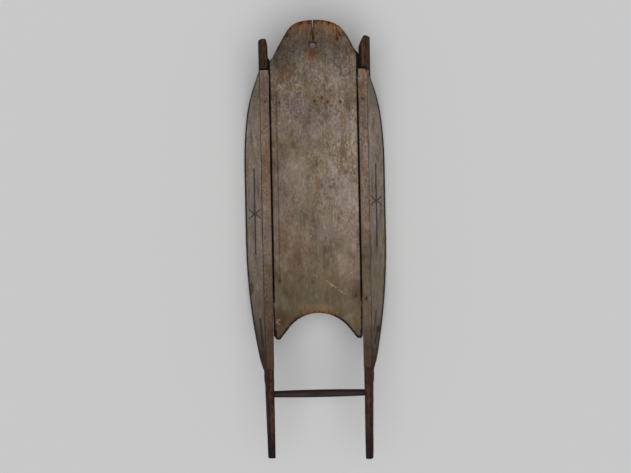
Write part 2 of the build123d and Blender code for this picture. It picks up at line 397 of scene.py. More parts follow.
# Patterns of a board that runs along Y: millimetres across and along the grain, detail and roughness
GRAIN_PATTERNS = (
    # Streaks as wide as a few growth rings of pine sawn flat
    (5, 110, 3.0, 0.5),
    # Open pores and weathered fibres, drawn near 1 mm wide, coarser than real ones
    (1.1, 45, 2.0, 0.5),
    # Paint lets go in flakes a few millimetres across, longer along the grain
    (5, 14, 6.0, 0.65),
    # Clouds of a thumb's length, and specks of a few millimetres
    (22, 40, 5.0, 0.62),
    (3.6, 6, 3.0, 0.65),
    # Weather and dirt in blotches of two fingers' breadth
    (26, 52, 5.0, 0.6),
)
# Growth rings lie this far apart round a heart that lies under the board
RING_WIDTH = 4.0 * MM
HEART = (0.03, 0.0, 0.11)


def wood_patterns(add, place):
    """The patterns of a sawn board that runs along Y, each about 0 to 1."""
    found = []
    for across, along, detail, roughness in GRAIN_PATTERNS:
        spot = add(MAPPING, {"Vector": place, "Scale": sized(across, along, across)})
        found.append(add(NOISE, {"Vector": spot, "Scale": 1.0, "Detail": detail, "Roughness": roughness}))
    spot = add(MAPPING, {"Vector": place, "Location": HEART, "Scale": (1.0, 0.06, 1.0)})
    ringed = {"Vector": spot, "Scale": 2 * math.pi / 20 / RING_WIDTH, "Distortion": 9.0, "Detail": 2.0}
    ringed["Detail Scale"] = 0.45
    rings = add("ShaderNodeTexWave", ringed, "Fac", wave_type="RINGS", rings_direction="Y")
    return Grain(*found, rings)


# What the paint reads from its piece
WEAR_MARKS = ("edge", "bare", "grime", "scuff", "tone", "handled", "soaked", "chalk", "aged")
# A stroke of a scratch, and the two ways that strokes slant
STROKE = (2 * MM, 20 * MM, 20 * MM)
SLANTS = (40, -28)


def painted_wood(name, bareness, cross=None):
    """Old taupe milk paint, brushed thin on pine and worn through.

    The eye sees chalky matt paint that follows the grain, brown wood at edges and flaked places, dirt where
    hands and weather leave it, and painted shade in joints, on inner walls and towards the front. bareness
    shifts all of the piece towards bare wood.
    """
    colours = bpy.context.scene.sled_colours
    material, add = blank_material(name)
    place = add(COORDINATES, out="Object")
    grain = wood_patterns(add, place)
    marks = [add(ATTRIBUTE, out="Fac", attribute_name=label) for label in WEAR_MARKS]
    edge, bare, soil_and_shade, scuff, tone, hands, soaked, chalked, aged = marks

    # Paint: taupe in places, olive or violet-grey in others, chalked or stained in specks and streaks.
    # Where it has aged under oil and hands it is olive all over, with fewer specks.
    freshness = add(MATH, (aged, -1.2, 0.9), operation="MULTIPLY_ADD", use_clamp=True)
    dust = add(MATH, (grain.streak, 0.5, grain.speck), operation="MULTIPLY_ADD")
    # Each pattern gives a share that starts at one value, is full at another, and is this much there
    shares = [
        add(RANGE, (pattern, start, full, 0.0, most), interpolation_type="SMOOTHSTEP")
        for pattern, start, full, most in (
            (grain.mottle, 0.5, 0.64, 0.9),
            (grain.mottle, 0.5, 0.36, freshness),
            (dust, 0.74, 0.92, freshness),
            (grain.speck, 0.45, 0.32, freshness),
            (grain.streak, 0.54, 0.74, 0.6),
            (grain.blotch, 0.46, 0.3, 0.6),
            (grain.blotch, 0.5, 0.7, 0.75),
        )
    ]
    yellowed, greyed, dusty, spotted, stained, pale, dirty = shares
    oily = add(MATH, (yellowed, aged), operation="MAXIMUM")
    # Larger clouds: chalky where the weather got at the paint, dirty where hands did
    chalk_edge = add(MATH, (grain.chips, 2.0, -0.1), operation="MULTIPLY_ADD", use_clamp=True)
    chalky = add(MATH, (chalked, chalk_edge, pale), operation="MULTIPLY_ADD", use_clamp=True)
    # Oil and wear let the brown of the wood through thin paint
    soak_edge = add(MATH, (grain.chips, 1.6, 0.2), operation="MULTIPLY_ADD")
    thin = add(MATH, (soaked, soak_edge), operation="MULTIPLY", use_clamp=True)
    paint = opaque(colours.paint_planks if cross else colours.paint)
    for share, shade in (
        (oily, colours.paint_olive),
        (greyed, colours.paint_violet),
        (dusty, colours.paint_faded),
        (spotted, colours.stain),
        (stained, colours.stain),
        (chalky, colours.paint_faded),
        (dirty, colours.paint_soiled),
        (thin, colours.wood),
    ):
        paint = add(MIX, {0: share, 6: paint, 7: opaque(shade)}, MIXED, data_type="RGBA")

    # Wood: early and late wood, broken up by the fibres, and darker where it is handled
    fibres = add(MATH, (grain.fine, 0.35, grain.chips), operation="MULTIPLY_ADD")
    late = add(MATH, (grain.rings, 0.14, fibres), operation="MULTIPLY_ADD")
    late_share = add(RANGE, (late, 0.62, 0.88))
    early, dark = (
        add(MIX, {0: hands, 6: opaque(plain), 7: opaque(handled)}, MIXED, data_type="RGBA")
        for plain, handled in ((colours.wood, colours.handled), (colours.wood_dark, colours.handled_dark))
    )
    timber = add(MIX, {0: late_share, 6: early, 7: dark}, MIXED, data_type="RGBA")
    # Where the paint is gone: worn places and edges, broken up by flakes and streaks
    worn = add(MATH, (edge, 0.42, bare), operation="MULTIPLY_ADD")
    flaked = add(MATH, (grain.chips, 1.25, worn), operation="MULTIPLY_ADD")
    combed = add(MATH, (grain.fine, 0.22, flaked), operation="MULTIPLY_ADD")
    gone = add(RANGE, (combed, 1.0 - bareness, 1.34 - bareness), interpolation_type="SMOOTHSTEP")
    surface = add(MIX, {0: gone, 6: paint, 7: timber}, MIXED, data_type="RGBA")
    if cross:
        line = painted_cross(add, place, cross, grain, gone)
        surface = add(MIX, {0: line, 6: surface, 7: opaque(colours.stripe)}, MIXED, data_type="RGBA")
    # Fibres darken everything a little, and the tone follows the lighter and dirtier stretches of the piece,
    # with painted shade darkening it towards the front
    fibre = add(RANGE, (grain.fine, 0.25, 0.75, 0.9, 1.08))
    shade = add(MATH, (fibre, tone), operation="MULTIPLY")
    surface = add(MIX, {0: 1.0, 6: surface, 7: shade}, MIXED, data_type="RGBA", blend_type="MULTIPLY")
    # Scratches: strokes slanting both ways
    strokes = []
    for slant in SLANTS:
        turned = {"Vector": place, "Rotation": (0.0, 0.0, math.radians(slant)), "Scale": STROKE}
        spot = add(MAPPING, turned, vector_type="TEXTURE")
        strokes.append(add(NOISE, {"Vector": spot, "Scale": 1.0, "Detail": 1.0}))
    either = add(MATH, strokes, operation="MAXIMUM")
    stroke = add(MATH, (scuff, 0.3, either), operation="MULTIPLY_ADD")
    scratched = add(RANGE, (stroke, 0.82, 0.98, 0.0, 0.56), interpolation_type="SMOOTHSTEP")
    # Grime along the feet and round the nails, and painted shade in the open joints, on inner walls, at the
    # scoop's rim and beside the rear tips
    soil_and_shade_edge = add(MATH, (grain.chips, 0.5, soil_and_shade), operation="MULTIPLY_ADD")
    grimy_and_shaded = add(RANGE, (soil_and_shade_edge, 0.38, 1.0), interpolation_type="SMOOTHSTEP")
    for share, shade in ((scratched, colours.scratch), (grimy_and_shaded, colours.grime)):
        surface = add(MIX, {0: share, 6: surface, 7: opaque(shade)}, MIXED, data_type="RGBA")
    # Chalky paint is rougher than wood that clothes and hands have rubbed
    rough = add(RANGE, (grain.chips, 0.3, 0.7, 0.76, 0.96))
    # Raised fibres and the step of the paint film, drawn about 0.3 mm high
    relief = add(MATH, (gone, -0.55, grain.fine), operation="MULTIPLY_ADD")
    bump = add(BUMP, {"Height": relief, "Strength": 0.6, "Distance": 0.35 * MM})
    shader = add(
        PRINCIPLED,
        {"Base Color": surface, "Roughness": rough, "IOR": 1.5, "Specular IOR Level": 0.2, "Normal": bump},
    )
    add(OUTPUT, {"Surface": shader})
    return material


# A runner's side of the sled, the place of its painted cross, and the places where its line ends
Cross = namedtuple("Cross", "sign y line_rear line_front")
CROSSES = {"left": Cross(1, 95, 192, -26), "right": Cross(-1, 66, 185, -39)}
# How far the brush strays from a straight line, and how soft the ends of a stroke are
BRUSH_STRAY = 5.0 * MM
LINE_BLUR = 1.5 * MM
END_BLUR = 2.0 * MM


def down_plank(sign):
    """The way down the lean of a runner."""
    return Vector((sign * math.sin(CANT), 0.0, -math.cos(CANT)))


def out_of_plank(sign):
    """The way that the outer face of a runner looks."""
    return Vector((sign * math.cos(CANT), 0.0, math.sin(CANT)))


def painted_cross(add, place, cross, grain, gone):
    """How much of the painted line and its cross shows at a point of a runner's outer face."""
    sizes = bpy.context.scene.sled_sizes
    y = add("ShaderNodeSeparateXYZ", {"Vector": place}, "Y")
    # Distance down the lean of the face, from the middle of the line
    down = add(DIRECTION, (place, down_plank(cross.sign)), "Value", operation="DOT_PRODUCT")
    middle = FACE_X * math.sin(CANT) - SEAT_Z * math.cos(CANT) + sizes.stripe_depth
    stray = add(MATH, (grain.blotch, BRUSH_STRAY, -middle - BRUSH_STRAY / 2), operation="MULTIPLY_ADD")
    off_line = add(MATH, (down, stray), operation="ADD")
    aside = add(MATH, (off_line,), operation="ABSOLUTE")
    half_line = sizes.stripe_width / 2
    line = add(RANGE, (aside, half_line + LINE_BLUR, half_line - LINE_BLUR))
    # The line stops short of both ends of the runner
    half_run = (cross.line_rear - cross.line_front) / 2 * MM
    run_middle = MARK_Y + (cross.line_rear + cross.line_front) / 2 * MM
    from_middle = add(MATH, (y, -run_middle), operation="ADD")
    along = add(MATH, (from_middle,), operation="ABSOLUTE")
    run = add(RANGE, (along, half_run + END_BLUR, half_run - END_BLUR))
    stripe = add(MATH, (line, run), operation="MULTIPLY")
    # The cross is two bowed strokes that meet at the line
    spread = add(MATH, (aside, sizes.cross_height / 2), operation="DIVIDE")
    bow = add(MATH, (spread, 1.35), operation="POWER")
    from_cross = add(MATH, (y, -MARK_Y - cross.y * MM), operation="ADD")
    reach = add(MATH, (from_cross,), operation="ABSOLUTE")
    off_stroke = add(MATH, (bow, -sizes.cross_length / 2, reach), operation="MULTIPLY_ADD")
    beside = add(MATH, (off_stroke,), operation="ABSOLUTE")
    half_brush = sizes.brush_width / 2
    stroke = add(RANGE, (beside, half_brush + 0.8 * MM, half_brush - 0.4 * MM))
    inside = add(RANGE, (spread, 1.06, 0.94))
    arms = add(MATH, (stroke, inside), operation="MULTIPLY")
    both = add(MATH, (stripe, arms), operation="MAXIMUM")
    # Only the outer face is painted, and the line has worn thin with the paint under it
    normal = add("ShaderNodeNewGeometry", out="Normal")
    facing = add(DIRECTION, (normal, out_of_plank(cross.sign)), "Value", operation="DOT_PRODUCT")
    outer = add(RANGE, (facing, 0.6, 0.8))
    kept = add(RANGE, (grain.chips, 0.62, 0.42, 0.75, 1.0))
    left = add(MATH, (gone, -0.8, kept), operation="MULTIPLY_ADD")
    held = add(MATH, (left, outer), operation="MULTIPLY", use_clamp=True)
    return add(MATH, (both, held), operation="MULTIPLY")


def bare_wood(name, wood, wood_dark, roughness):
    """Unpainted ash or maple that lies across the sled, planed or turned, gone dark with age and handling.

    The eye sees brown streaks along the grain, darker pores, and a dull sheen where hands have rubbed.
    """
    material, add = blank_material(name)
    place = add(COORDINATES, out="Object")
    across = add(MAPPING, {"Vector": place, "Rotation": (0.0, 0.0, math.radians(90))})
    grain = wood_patterns(add, across)
    soil_and_shade = add(ATTRIBUTE, out="Fac", attribute_name="grime")
    tone = add(ATTRIBUTE, out="Fac", attribute_name="tone")
    late = add(MATH, (grain.streak, grain.fine), operation="ADD")
    late_share = add(RANGE, (late, 0.75, 1.25), interpolation_type="SMOOTHSTEP")
    timber = add(MIX, {0: late_share, 6: opaque(wood_dark), 7: opaque(wood)}, MIXED, data_type="RGBA")
    ringed = add(RANGE, (grain.rings, 0.0, 1.0, 0.92, 1.06))
    shade = add(MATH, (ringed, tone), operation="MULTIPLY")
    toned = add(MIX, {0: 1.0, 6: timber, 7: shade}, MIXED, data_type="RGBA", blend_type="MULTIPLY")
    soil_and_shade_edge = add(MATH, (grain.chips, 0.5, soil_and_shade), operation="MULTIPLY_ADD")
    grimy_and_shaded = add(RANGE, (soil_and_shade_edge, 0.4, 1.05, 0.0, 0.9), interpolation_type="SMOOTHSTEP")
    grime = opaque(bpy.context.scene.sled_colours.grime)
    final = add(MIX, {0: grimy_and_shaded, 6: toned, 7: grime}, MIXED, data_type="RGBA")
    rough = add(RANGE, (grain.blotch, 0.3, 0.7, roughness - 0.12, roughness + 0.12))
    # Open pores, drawn about 0.2 mm deep
    bump = add(BUMP, {"Height": grain.fine, "Strength": 0.5, "Distance": 0.25 * MM})
    shader = add(
        PRINCIPLED,
        {"Base Color": final, "Roughness": rough, "IOR": 1.5, "Specular IOR Level": 0.2, "Normal": bump},
    )
    add(OUTPUT, {"Surface": shader})
    return material


# The dark skin that wrought iron comes from the fire with
FORGE_SKIN = "#2a211c"


def rusted_iron(name, rust_code, iron_code, rubbed):
    """Wrought iron, forged flat and left to rust.

    The eye sees a dull dark brown skin with orange bloom and pits, and grey metal where snow rubs it.
    """
    material, add = blank_material(name)
    place = add(COORDINATES, out="Object")
    # Rust blooms a few millimetres across, with pits near 1 mm
    patterns = []
    for size, detail, roughness in (((7, 16, 7), 7.0, 0.7), ((1.4, 1.8, 1.4), 3.0, 0.5)):
        spot = add(MAPPING, {"Vector": place, "Scale": sized(*size)})
        patterns.append(add(NOISE, {"Vector": spot, "Scale": 1.0, "Detail": detail, "Roughness": roughness}))
    bloom, pits = patterns
    rusty = add(RANGE, (bloom, 0.36, 0.66), interpolation_type="SMOOTHSTEP")
    edge = add(ATTRIBUTE, out="Fac", attribute_name="edge")
    polish = add(MATH, (edge, 0.6, pits), operation="MULTIPLY_ADD")
    bright = add(RANGE, (polish, 0.62, 1.0, 0.0, rubbed), interpolation_type="SMOOTHSTEP")
    shown = opaque(colour(FORGE_SKIN))
    for share, code in ((rusty, rust_code), (bright, iron_code)):
        shown = add(MIX, {0: share, 6: shown, 7: opaque(colour(code))}, MIXED, data_type="RGBA")
    rough = add(RANGE, (bright, 0.0, 1.0, 0.86, 0.42))
    relief = add(MATH, (bloom, 1.5, pits), operation="MULTIPLY_ADD")
    bump = add(BUMP, {"Height": relief, "Strength": 0.7, "Distance": 0.4 * MM})
    shader = add(PRINCIPLED, {"Base Color": shown, "Metallic": bright, "Roughness": rough, "Normal": bump})
    add(OUTPUT, {"Surface": shader})
    return material


def packed_dirt(name):
    """A near-black fill, drawn as trodden road dirt, that paints the shadow between the deck and the rear
    tips.

    The eye sees a near-black crumbly mass with greyer grains.
    """
    material, add = blank_material(name)
    place = add(COORDINATES, out="Object")
    # Grains and crumbs of 2 to 3 mm
    spot = add(MAPPING, {"Vector": place, "Scale": sized(2.5, 3, 2.5)})
    crumbs = add(NOISE, {"Vector": spot, "Scale": 1.0, "Detail": 4.0})
    share = add(RANGE, (crumbs, 0.45, 0.8))
    grime = opaque(bpy.context.scene.sled_colours.grime)
    shade = add(MIX, {0: share, 6: grime, 7: opaque(colour("#2b231d"))}, MIXED, data_type="RGBA")
    rough = add(RANGE, (crumbs, 0.0, 1.0, 0.85, 1.0))
    bump = add(BUMP, {"Height": crumbs, "Strength": 0.8, "Distance": 0.8 * MM})
    shader = add(
        PRINCIPLED,
        {"Base Color": shade, "Roughness": rough, "IOR": 1.5, "Specular IOR Level": 0.1, "Normal": bump},
    )
    add(OUTPUT, {"Surface": shader})
    return material


# Nails that show from above, by their places across and along the sled
DECK_NAILS = ((1.8, 350), (21, 358), (36, 347), (67, 347), (-88, 346), (-95, -107), (97.5, -149))
RAIL_NAILS = ((-124, 350), (125, 353), (124, -155))


def nail_stain(points, nails):
    """Dark halo of rust round each nail, about 7 mm wide."""
    return patched(points, [(x, y, 4.5, 6.0, 0.55) for x, y in nails])


# Deck board

# Old splits along the grain: place across, both ends, three widths, depth, sway, and lean at the front
Split = namedtuple("Split", "x front rear width_front width_middle width_rear depth sway lean")
SPLITS = (
    Split(0.9, 496.0, 560.0, 0.8, 1.5, 3.0, 30.0, 0.7, 4.5),
    Split(-35.6, 489.0, 556.0, 0.1, 0.7, 1.2, 9.0, 0.8, 0.0),
    Split(62.0, 500.0, 548.0, 0.1, 0.7, 1.1, 8.0, 0.6, 0.0),
    Split(-95.3, -118.0, 408.0, 0.1, 1.1, 0.1, 3.5, 1.6, 0.0),
)
SPLIT_STEP = 4.0
SWAY_LENGTH = 28
# A split deeper than this goes through the board. A wedge starts this far above the deck.
THROUGH = 20
CLEAR = 1.0 * MM
# Corners of a wedge, seen along the grain: side, top or root, and share of the width
WEDGE = ((-1, 0, 1), (1, 0, 1), (1, 1, 0.35), (-1, 1, 0.35))


def split_cutters():
    """One mesh of thin wandering wedges, shaped like the deck's splits."""
    shape = bmesh.new()
    for number, split in enumerate(SPLITS):
        widths = (split.width_front, split.width_middle, split.width_rear)
        rings = []
        for share in np.linspace(0, 1, int((split.rear - split.front) / SPLIT_STEP) + 1):
            y = split.front + share * (split.rear - split.front)
            width = np.interp(share, (0, 0.5, 1), widths)
            sway = split.sway * noise.noise((y / SWAY_LENGTH, number * 5.3, 0.5))
            depth = split.depth * MM * (width / max(widths) if split.depth < THROUGH else 1.0)
            corners = []
            for side, drop, narrow in WEDGE:
                lean = drop * split.lean * (1 - share)
                x = (split.x + sway + lean + side * narrow * width / 2) * MM
                z = DECK_HIGH.z + CLEAR - drop * (depth + CLEAR)
                corners.append(shape.verts.new((x, MARK_Y + y * MM, z)))
            if rings:
                last = rings[-1]
                for one in range(3):
                    shape.faces.new((last[one], last[one + 1], corners[one + 1]))
                    shape.faces.new((last[one], corners[one + 1], corners[one]))
                # The left wall is halved as the right one is, so that a thin wedge can't cross itself
                shape.faces.new((last[3], last[0], corners[3]))
                shape.faces.new((last[0], corners[0], corners[3]))
            rings.append(corners)
        shape.faces.new(rings[0])
        shape.faces.new(rings[-1])
    bmesh.ops.recalc_face_normals(shape, faces=shape.faces)
    return drawn(shape, "split_cutters")


# How deep a rope has worn the front of its hole, how far along the deck and how far down the wear goes
ROPE_GROOVE = 4.5 * MM
ROPE_REACH = 20 * MM
ROPE_DROP = 13 * MM


def rope_wear(mesh):
    """Hollow out the front side of the rope hole, where a rope has dragged."""
    points = points_of(mesh)
    ahead = points[:, :2] - np.array(HOLE.xy)
    away = np.hypot(ahead[:, 0], ahead[:, 1])
    frontness = np.clip(0.3 - 0.8 * ahead[:, 1] / np.maximum(away, 1e-6), 0, 1)
    reach = ramp(away - HOLE_RADIUS, ROPE_REACH, 0)
    upper = ramp(DECK_HIGH.z - points[:, 2], ROPE_DROP, 0)
    points[:, 2] -= ROPE_GROOVE * frontness * reach**1.5 * upper
    set_points(mesh, points)


# The deck's walls fill the joints, as a fill painted dark for the shade there, from the toes to these places
# on the left and right, starting this far down
JOINT_FILL_FRONT = -254
JOINT_FILL_REAR_LEFT = 490
JOINT_FILL_REAR_RIGHT = 466
JOINT_FILL_TOP = 5 * MM


def fill_joints_with_shade(mesh):
    """Push the deck's walls into the open joints beside the rails, so that their painted shade shows as a
    black line from above.
    """
    points = points_of(mesh)
    y = places(points)
    sides = np.sign(points[:, 0])
    wall = np.clip(3 * np.abs(normals_of(mesh)[:, 0]) - 1.2, 0, 1) * (np.abs(points[:, 0]) > JOINT_X)
    rear = np.where(sides > 0, JOINT_FILL_REAR_LEFT, JOINT_FILL_REAR_RIGHT)
    along = ramp(y - JOINT_FILL_FRONT, 0, 6) * ramp(rear - y, 0, 12)
    ragged = (2.5 + 2.0 * wander(points, (6, 11, 6), 15.0)) * MM
    below = ramp(DECK_HIGH.z - JOINT_FILL_TOP - ragged - points[:, 2], 0, 5 * MM)
    points[:, 0] += sides * JOINT_WIDTH * wall * along * below
    set_points(mesh, points, "deck")


# Scratched places on the deck
DECK_SCUFFS = (
    (-62, 388, 48, 22, 0.78),
    (46, -121, 20, 15, 0.55),
    (42, 388, 12, 12, 0.85),
    (-100, -206, 7, 7, 0.9),
    (60, 60, 14, 26, 0.55),
    (40, 200, 26, 60, 0.45),
)
# Single scratches that something hard has left on the deck
DECK_SCRATCHES = (
    (20, -107, 30, -114, 1.4, 1.1),
    (32, -116, 48, -127, 1.4, 1.5),
    (52, -131, 69, -143, 1.4, 1.15),
    (-9, -92, 1, -99, 1.4, 1.15),
    (72, -99, 104, -80, 1.4, 0.95),
    (54, 25, 59, 20, 1.5, 1.4),
    (67, 12, 73, 9, 1.5, 1.4),
    (59, -44, 61, -55, 1.5, 1.4),
    (-60, -144, -57, -151, 1.5, 1.3),
    (-106, -211, -98, -219, 1.5, 1.4),
)
# Rubbed places near the deck's rim
DECK_RUBS = (
    (-66, 522, 24, 18, 0.42),
    (62, 518, 26, 20, 0.45),
    (94, 478, 13, 40, 0.34),
    (0, -193, 62, 9, 0.5),
    (-50, 372, 30, 22, 0.18),
)
# Places where brown shows through the deck's paint, and where the paint has chalked
DECK_SOAKS = (
    (1, 472, 15, 17, 0.75),
    (66, 512, 32, 34, 0.3),
    (92, 474, 18, 46, 0.3),
    (-72, 424, 26, 22, 0.35),
    (10, 137, 9, 14, 0.55),
    (73, 302, 7, 18, 0.5),
    (-100, -109, 6, 8, 0.6),
    (22, 352, 40, 9, 0.35),
    (-84, -222, 34, 36, 0.5),
    (90, -215, 34, 34, 0.22),
    (0, -192, 60, 16, 0.5),
    (-70, -40, 40, 90, 0.25),
    (40, -110, 60, 24, 0.2),
)
DECK_CHALKS = (
    (58, 287, 36, 36, 0.15),
    (80, 102, 28, 50, 0.4),
    (40, 30, 40, 40, 0.3),
    (-40, 150, 30, 50, 0.3),
)
# Stretches of the deck that are dirtier or cleaner than the rest of it
DECK_DARKS = (
    (-76, 462, 36, 50, 0.32),
    (-80, 226, 16, 22, 0.2),
    (-82, 128, 14, 24, 0.18),
    (-30, 60, 22, 40, 0.14),
    (-94, -198, 24, 26, 0.28),
)
DECK_LIGHTS = (
    (92, -215, 32, 34, 0.55),
    (6, -181, 44, 12, 0.45),
    (70, -178, 30, 18, 0.22),
    (78, -66, 32, 40, 0.16),
    (70, 535, 40, 22, 0.3),
    (6, -194, 52, 9, 0.9),
)
# A dirty old line along the longest split
DECK_LINES = ((-95.3, -116, -95.3, 370, 2.0, 0.42),)
# Places along the deck, with how bright it is there, darker towards the front partly as painted shade and
# partly as dirtier paint, how yellowed its front is, how much its right half is yellowed too, and how much
# its halves differ
DECK_TONES_AND_SHADE = (
    (-256, -200, -170, -135, -105, -66, 10, 100, 200, 287, 351, 404, 450, 488, 521, 544),
    (0.42, 0.48, 0.66, 0.64, 0.77, 0.87, 0.9, 0.98, 1.0, 0.92, 0.82, 0.86, 0.72, 0.46, 0.6, 0.84),
)
DECK_FRONT_AGES = ((-190, -135, -105, -50, 60), (0.75, 0.68, 0.52, 0.38, 0.0))
DECK_RIGHT_AGES = ((240, 300), (1.0, 0.0))
DECK_LOPSIDED = ((-150, -100, 380, 450, 500), (0.0, 1.0, 1.0, 0.5, 0.9))


def mark_deck(mesh):
    """Mark where the deck is worn, soaked, chalked, dirty, scratched and yellowed, where shade is painted in
    its joints and on its scoop's rim, and how bright it is, with painted shade towards its front.
    """
    cracks = [(split.x, split.front, split.x, split.rear - 4, 3.0, 0.85) for split in SPLITS]
    rim = keep_edges(mesh, 6, cracks) / MM
    points = points_of(mesh)
    normals = normals_of(mesh)
    x = points[:, 0] / MM
    y = places(points)
    # The paint is washed off the tail in a ragged line, and rubbed off its rim and that of the scoop
    ragged = 20 * wander(points, (24, 24, 24), 12.0) + 10 * wander(points, (8, 11, 8), 14.0)
    wash = ramp(y + ragged, 490, 550)
    tail = ramp(y, 455, 515)
    scoop = ramp(y, -165, -180)
    rubbed = 0.55 * tail * ramp(rim, 16, 0) + 0.45 * scoop * ramp(rim, 9, 0)
    worn = np.maximum.reduce([rubbed, 0.22 * wash, patched(points, DECK_RUBS)])
    underside = np.clip(-normals[:, 2] - 0.3, 0, 1)
    # Painted shade darkens the walls in the joints, the walls low down and the scoop's rim; dirt lies along
    # the old line and rust round the nails
    joint_shade = np.clip(np.abs(normals[:, 0]) - 0.45, 0, 1) * (np.abs(points[:, 0]) > JOINT_X)
    low_wall_shade = ramp(DECK_HIGH.z - points[:, 2], 4 * MM, 10 * MM) * (underside < 0.1)
    scoop_rim_shade = scoop * np.interp(np.abs(x), (35, 60), (0.35, 0.8)) * ramp(rim, 4.8, 0.8)
    lines = streaked(points, DECK_LINES)
    dirt_and_shade = [1.6 * joint_shade, 0.5 * low_wall_shade, scoop_rim_shade, lines, nail_stain(points, DECK_NAILS)]
    right_age = np.interp(x, (-105, -20, 40), (0.4, 0.28, 0.0)) * along_sled(points, *DECK_RIGHT_AGES)
    # The rider's left half has kept more of its paint
    half = np.interp(x, (-105, 0, 105), (-0.16, -0.08, 0.16)) * along_sled(points, *DECK_LOPSIDED)
    mottling = 1 + 0.18 * wander(points, (34, 70, 34), 2.0) + 0.17 * wander(points, (9, 13, 9), 5.0)
    stretches = 1 + patched(points, DECK_LIGHTS) - patched(points, DECK_DARKS)
    mark(
        mesh,
        bare=worn + 0.9 * underside,
        soaked=np.maximum(0.8 * wash, patched(points, DECK_SOAKS)),
        chalk=patched(points, DECK_CHALKS),
        grime=np.maximum.reduce(dirt_and_shade),
        scuff=np.maximum(patched(points, DECK_SCUFFS), streaked(points, DECK_SCRATCHES)),
        aged=np.maximum(along_sled(points, *DECK_FRONT_AGES), right_age),
        tone=along_sled(points, *DECK_TONES_AND_SHADE) * (1 + half) * mottling * stretches,
    )


# A deck with fewer faces than this has been lost in the cutting of its splits
FEWEST_FACES = 10000


class SLED_OT_deck_board(bpy.types.Operator):
    """Make the deck board, with its worn rims, splits and rope-worn hole"""

    bl_idname = "sled.deck_board"
    bl_label = "Deck board"

    def execute(self, context):
        sizes = context.scene.sled_sizes
        # The CAD's straight split is filled, and a wandering one is cut in its place
        split_low = Vector((-4 * MM, HOLE.y + HOLE_RADIUS + 1 * MM, DECK_LOW.z))
        split_high = Vector((4 * MM, DECK_HIGH.y - 3.5 * MM, DECK_HIGH.z))
        mesh = even_copy("deck", sizes.board_mesh, (split_low, split_high))
        wear(mesh, "deck", rounds=7, hollowing=sizes.hollowing, shift=11.0)
        rope_wear(mesh)
        # The deck's walls fill the open joints, to be painted dark as shade
        fill_joints_with_shade(mesh)
        board = placed(mesh, "deck_stock")
        cutter = placed(split_cutters(), "split_cutters")
        cut = board.modifiers.new("Splits", "BOOLEAN")
        cut.operation = "DIFFERENCE"
        cut.solver = "EXACT"
        cut.object = cutter
        mesh = baked(board, "deck_board")
        bpy.data.objects.remove(cutter)
        if len(mesh.polygons) < FEWEST_FACES:
            raise RuntimeError("the deck board lost its shape when its splits were cut")
        mark_deck(mesh)
        paint = painted_wood("worn_milk_paint_on_pine_deck", bareness=0.0)
        finished(mesh, "deck_board", "deck", paint)
        return {"FINISHED"}


# Runner planks

# Rubbed places, dark smears across the fronts, and reddish stretches of horns and tips
PLANK_RUBS = {
    "left": (
        (152, -218, 12, 30, 0.3),
        (155, -239, 8, 10, 0.8),
        (176, 300, 10, 50, 0.2),
        (172, 60, 6, 40, 0.2),
    ),
    "right": ((-172, -128, 8, 22, 0.7), (-172, 190, 9, 60, 0.2), (-150, 250, 9, 60, 0.16)),
}
PLANK_SMEARS = {
    "left": ((152, -190, 144, -240, 2.6, 0.5), (158, -230, 146, -272, 3.4, 0.5)),
    "right": ((-149, -206, -143, -276, 3.0, 0.55),),
}
PLANK_LIGHTS = {
    "left": ((126, -416, 16, 26, 0.4), (129, 468, 9, 34, 0.7)),
    "right": ((-123, -470, 16, 30, 0.3),),
}
# How bright each plank is at places along it, darker towards the front and at the rear tips partly as
# painted shade and partly as darker, dirtier wood, and how far its paint has yellowed
PLANK_STATIONS = (
    -556, -535, -520, -485, -440, -340, -300, -255, -205,
    -140, -60, 0, 160, 280, 350, 425, 440,
)
PLANK_TONES_AND_SHADE = {
    "left": (
        0.12, 0.15, 0.17, 0.29, 0.32, 0.36, 0.42, 0.5, 0.88,
        1.0, 1.09, 1.13, 1.3, 1.38, 0.96, 0.9, 0.36,
    ),
    "right": (
        0.08, 0.09, 0.12, 0.27, 0.34, 0.32, 0.34, 0.38, 0.68,
        0.98, 1.08, 1.16, 1.26, 1.28, 1.05, 0.9, 0.36,
    ),
}
PLANK_AGES = {
    "left": ((-180, -60, 0, 40), (0.35, 0.6, 0.5, 0.0)),
    "right": ((-270, -200, -150, -110), (0.5, 0.6, 0.2, 0.0)),
}
# Where the foot of a plank runs out into its horn
SHOULDER_PLACE = -344.0
SHOULDER_STEP = 5.0 * MM
# Where the bevel on the inner side of the left tip ends, and where the tips start behind the rails
BEVEL_X = 122.0 * MM
TIP_PLACE = 434
# The swelled inner wall of a tip, painted dark for the shadow beside the deck: its thickness, how far below
# the top it starts, and where it lies
TIP_SHADE_FILL = 5.0 * MM
TIP_SHADE_FILL_TOP = 6 * MM
TIP_SHADE_FILL_RUN = ((424, 430, 462, 478), (0, 1, 1, 0))
# The foot's line is found in strips of this width
FOOT_STRIP = 6 * MM


def slope_depth(points, sign):
    """Distance of each point down the lean of a runner from its level top."""
    across = (sign * points[:, 0] - FACE_X) * math.sin(CANT)
    return across - (points[:, 2] - SEAT_Z) * math.cos(CANT)


def foot_distance(points, sign):
    """Distance of each point up a runner from its foot."""
    depth = slope_depth(points, sign)
    strips = np.round(points[:, 1] / FOOT_STRIP).astype(int)
    strips -= strips.min()
    deepest = np.full(strips.max() + 1, -1.0)
    np.maximum.at(deepest, strips, depth)
    return deepest[strips] - depth


